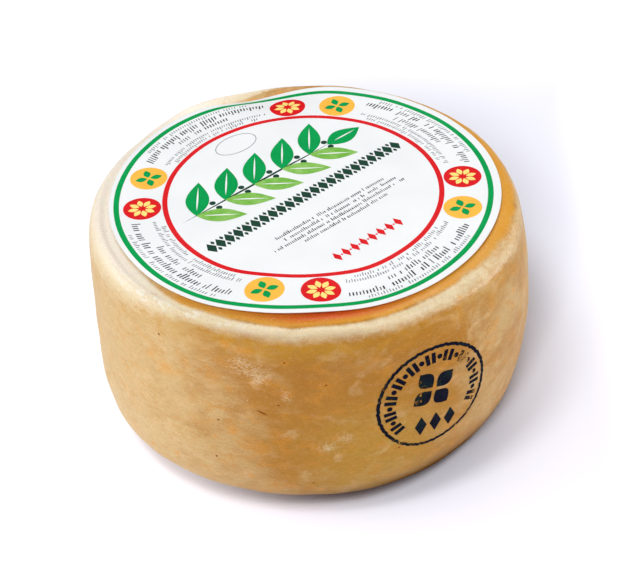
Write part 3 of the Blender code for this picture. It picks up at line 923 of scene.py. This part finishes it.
def worn_ink():
    """Blue-black stamping ink that is missing in specks and patches."""
    material, tree, shader = new_material("stamping_ink")
    place = node(tree, "TexCoord").outputs["Object"]
    worn = noise(tree, place, 520.0, detail=4.0, rough=0.7)
    patch = noise(tree, place, 110.0, detail=2.0, rough=0.5)
    strength = node(tree, "Attribute", attribute_name="inked").outputs["Fac"]
    level = sums(tree, "MULTIPLY_ADD", worn, 0.7, times(tree, patch, 0.6))
    level = sums(tree, "SUBTRACT", level, strength)
    colour = blend(tree, ramp(tree, patch, 0.40, 0.70), BLUE_INK, GREEN_BLACK_INK)
    tree.links.new(colour, shader.inputs["Base Color"])
    tree.links.new(ramp(tree, level, 0.10, -0.06), shader.inputs["Alpha"])
    tree.links.new(ramp(tree, worn, 0.3, 0.7, 0.45, 0.7), shader.inputs["Roughness"])
    shader.inputs["Specular IOR Level"].default_value = 0.08
    return material


def stamp_patches():
    """Edge ring, a ring of radial bars and dots, a four-leaved figure and lozenges below it."""
    angle = np.linspace(0.0, 2.0 * np.pi, 200, endpoint=False)
    ragged = 0.00014 * np.sin(61.0 * angle) + 0.00012 * np.sin(37.0 * angle + 1.0)
    edge = STAMP_RADIUS + np.array((0.0007, -0.0007))[:, None] + ragged
    made = [((edge * np.cos(angle))[None], (edge * np.sin(angle))[None], True, 0.73)]
    for n, degrees in enumerate(np.arange(-28.0, 222.0, 8.0)):
        way = np.radians(degrees)
        out, side = np.array((np.cos(way), np.sin(way))), np.array((-np.sin(way), np.cos(way)))
        strength = 0.80 if degrees > 120.0 else 0.66
        if n % 3 == 2:
            made.append((*disc(*(0.0188 * out), 0.0011, 14, 3), strength))
            continue
        r = np.array((0.0164, 0.0212))[:, None, None] * out
        t = np.array((-0.5, 0.5))[None, :, None] * 0.0017 * side
        bar = (r + t)[None]
        made.append((bar[..., 0], bar[..., 1], False, strength))
    for n in range(4):
        way = np.radians(90.0 * n + 35.0)
        out = np.array((np.cos(way), np.sin(way)))
        made.append((*leaf((-0.0005, 0.0042) + 0.0012 * out, (-0.0005, 0.0042) + 0.0104 * out,
                           0.0070, rows=14, columns=5), 0.74))
    for n in range(3):
        u, v, joined = lozenges(np.array([-0.0054 + 0.0064 * n]), -0.0132, 0.0026, 0.0048)
        made.append((u, v, joined, 0.80))
    return made


stamp = stamp_patches()
film("wall_stamp", [patch[:3] for patch in stamp], 3, on_wall, worn_ink(),
     np.concatenate([np.full(patch[0].size, patch[3]) for patch in stamp]))


# ---------------------------------------------------------------- studio
# A white table. Five soft lights are for the wheel: two high at the front left, one behind, a
# low one at the left and one at the right. Three more light the table alone and bleach it. Its
# colour holds painted light and shade: it is bluish grey, so that its shadows show lavender,
# and past the shadow, at the right and behind, its white is painted brighter, as in a cut-out
# picture. A line of shade under the wheel is painted too, and the table glows faintly.

FLOOR_HALF = 3.0
TABLE_WHITE, TABLE_PAINTED_LIGHT = (0.83, 0.83, 0.92, 1.0), (1.0, 1.0, 1.0, 1.0)
TABLE_BOUNCE = (0.62, 0.565, 0.50, 1.0)           # as the wheel sees it, not the camera
TABLE_CONTACT = paint(70, 34, 22)                 # the line of shade under the wheel

corner = FLOOR_HALF * np.array(((-1, -1, 0), (1, -1, 0), (1, 1, 0), (-1, 1, 0)), float)
table = bpy.data.meshes.new("table")
table.from_pydata(corner.tolist(), [], [(0, 1, 2, 3)])
table_white, table_tree, table_shader = new_material("table_white")
seen = node(table_tree, "LightPath").outputs["Is Camera Ray"]
# Painted shade: the table is darker where the wheel shuts out the sky near its foot, most towards the
# right.
open_sky = node(table_tree, "AmbientOcclusion", {"Distance": 0.0072}, samples=8).outputs["AO"]
across = node(table_tree, "SeparateXYZ", {0: node(table_tree, "TexCoord").outputs["Object"]})
contact_shade = times(table_tree, ramp(table_tree, open_sky, 0.72, 0.38),
                 ramp(table_tree, across.outputs["X"], -0.060, 0.020, 0.15, 1.0))
# Painted light: the table is whiter at the right and behind, past the wheel's shadow.
apart = sums(table_tree, "MAXIMUM", ramp(table_tree, across.outputs["X"], 0.118, 0.150),
             ramp(table_tree, across.outputs["Y"], 0.20, 0.30))
white = blend(table_tree, apart, TABLE_WHITE, TABLE_PAINTED_LIGHT)
white = blend(table_tree, contact_shade, white, TABLE_CONTACT)
table_tree.links.new(blend(table_tree, seen, TABLE_BOUNCE, white),
                     table_shader.inputs["Base Color"])
table_shader.inputs["Roughness"].default_value = 0.7
# The table glows faintly in bluish white, painted light that lifts its shadows.
table_shader.inputs["Emission Color"].default_value = (0.93, 0.93, 1.0, 1.0)
table_shader.inputs["Emission Strength"].default_value = 0.02
table.materials.append(table_white)
floor = bpy.data.objects.new("table", table)
bpy.context.scene.collection.objects.link(floor)
table_only, wheel_only = (bpy.data.collections.new(n) for n in ("table_only", "wheel_only"))
for lit in (table_only, wheel_only):
    lit.objects.link(floor)
wheel_only.collection_objects[0].light_linking.link_state = "EXCLUDE"

# Each light is square and aimed at the wheel's middle: place, size, watts and what it lights
for name, place, size, power, lit in (
        ("light_front_left", (-0.40, -1.05, 1.10), 0.7, 10.7, wheel_only),
        ("light_steep", (-0.40, -0.50, 1.30), 0.6, 3.5, wheel_only),
        ("light_behind", (0.0, 0.80, 1.20), 0.8, 7.3, wheel_only),
        ("light_left", (-1.30, 0.10, 0.35), 0.7, 7.4, wheel_only),
        ("light_right", (1.30, 0.10, 0.60), 0.8, 14.2, wheel_only),
        ("table_light_front_left", (-0.205, -1.164, 0.923), 0.3, 15.6, table_only),
        ("table_light_steep", (-0.364, -0.519, 1.359), 0.3, 6.4, table_only),
        ("table_sky", (-0.60, 0.0, 1.20), 3.0, 34.0, table_only)):
    lamp_data = bpy.data.lights.new(name, "AREA")
    lamp_data.shape, lamp_data.size, lamp_data.energy = "SQUARE", size, power
    lamp = bpy.data.objects.new(name, lamp_data)
    lamp.location = place
    towards = Vector((0.0, 0.0, 0.05)) - Vector(place)
    lamp.rotation_euler = towards.to_track_quat("-Z", "Y").to_euler()
    lamp.light_linking.receiver_collection = lit
    bpy.context.scene.collection.objects.link(lamp)

room = bpy.data.worlds.new("room")
room.use_nodes = True
room.node_tree.nodes["Background"].inputs["Color"].default_value = (0.80, 0.85, 1.0, 1.0)
room.node_tree.nodes["Background"].inputs["Strength"].default_value = 0.03
bpy.context.scene.world = room
bpy.context.scene.view_settings.view_transform = "Standard"
